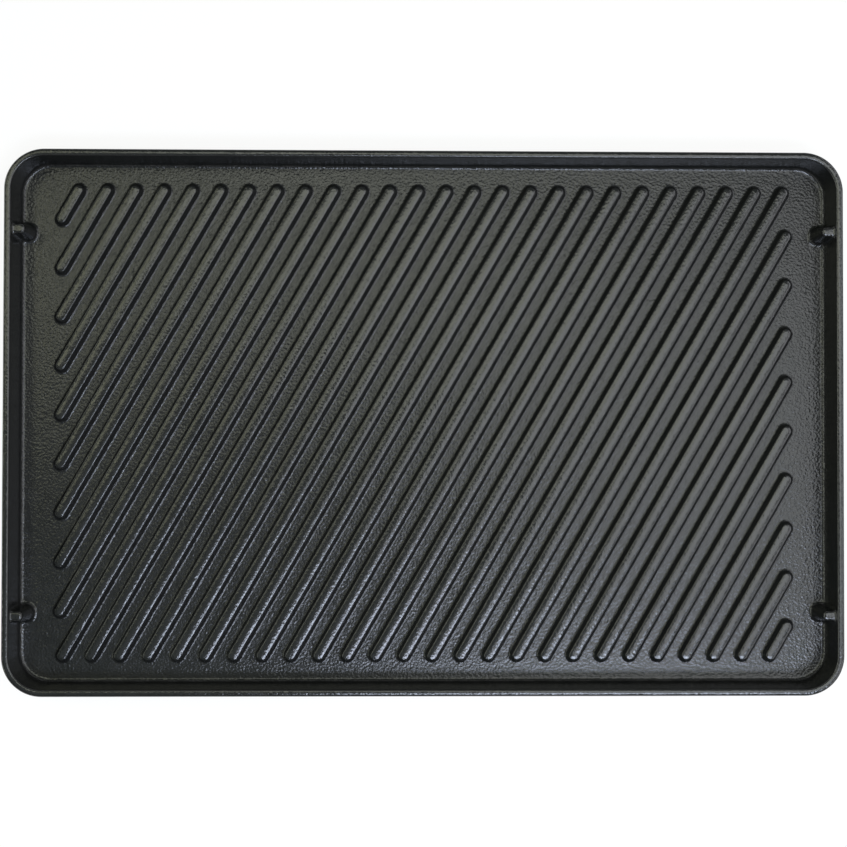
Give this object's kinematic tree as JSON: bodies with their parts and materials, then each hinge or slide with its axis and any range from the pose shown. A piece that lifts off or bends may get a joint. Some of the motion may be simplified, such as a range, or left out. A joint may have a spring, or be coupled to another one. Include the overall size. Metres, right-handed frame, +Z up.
{
  "type": "camp griddle plate",
  "caption": "Shallow rectangular cast griddle plate with a raised rim, rounded corners, parallel diagonal cooking ribs and small lugs inside its end walls.",
  "frame": {"origin": "centre of the flat underside", "axes": "+X along the plate's length, +Y towards its back edge, +Z up out of the tray"},
  "size_m": [0.43, 0.279, 0.0195],
  "materials": {
    "seasoned_iron": "dark seasoned casting, satin, fine sand-cast grain"
  },
  "bodies": {
    "root": {"floor_plate": "seasoned_iron", "rim": "seasoned_iron", "lug_back_left": "seasoned_iron", "lug_back_right": "seasoned_iron", "lug_front_left": "seasoned_iron", "lug_front_right": "seasoned_iron", "rib_01": "seasoned_iron", "rib_02": "seasoned_iron", "rib_03": "seasoned_iron", "rib_04": "seasoned_iron", "rib_05": "seasoned_iron", "rib_06": "seasoned_iron", "rib_07": "seasoned_iron", "rib_08": "seasoned_iron", "rib_09": "seasoned_iron", "rib_10": "seasoned_iron", "rib_11": "seasoned_iron", "rib_12": "seasoned_iron", "rib_13": "seasoned_iron", "rib_14": "seasoned_iron", "rib_15": "seasoned_iron", "rib_16": "seasoned_iron", "rib_17": "seasoned_iron", "rib_18": "seasoned_iron", "rib_19": "seasoned_iron", "rib_20": "seasoned_iron", "rib_21": "seasoned_iron", "rib_22": "seasoned_iron", "rib_23": "seasoned_iron", "rib_24": "seasoned_iron", "rib_25": "seasoned_iron", "rib_26": "seasoned_iron", "rib_27": "seasoned_iron", "rib_28": "seasoned_iron", "rib_29": "seasoned_iron", "rib_30": "seasoned_iron", "rib_31": "seasoned_iron", "rib_32": "seasoned_iron", "rib_33": "seasoned_iron", "rib_34": "seasoned_iron", "rib_35": "seasoned_iron"}
  },
  "joints": []
}
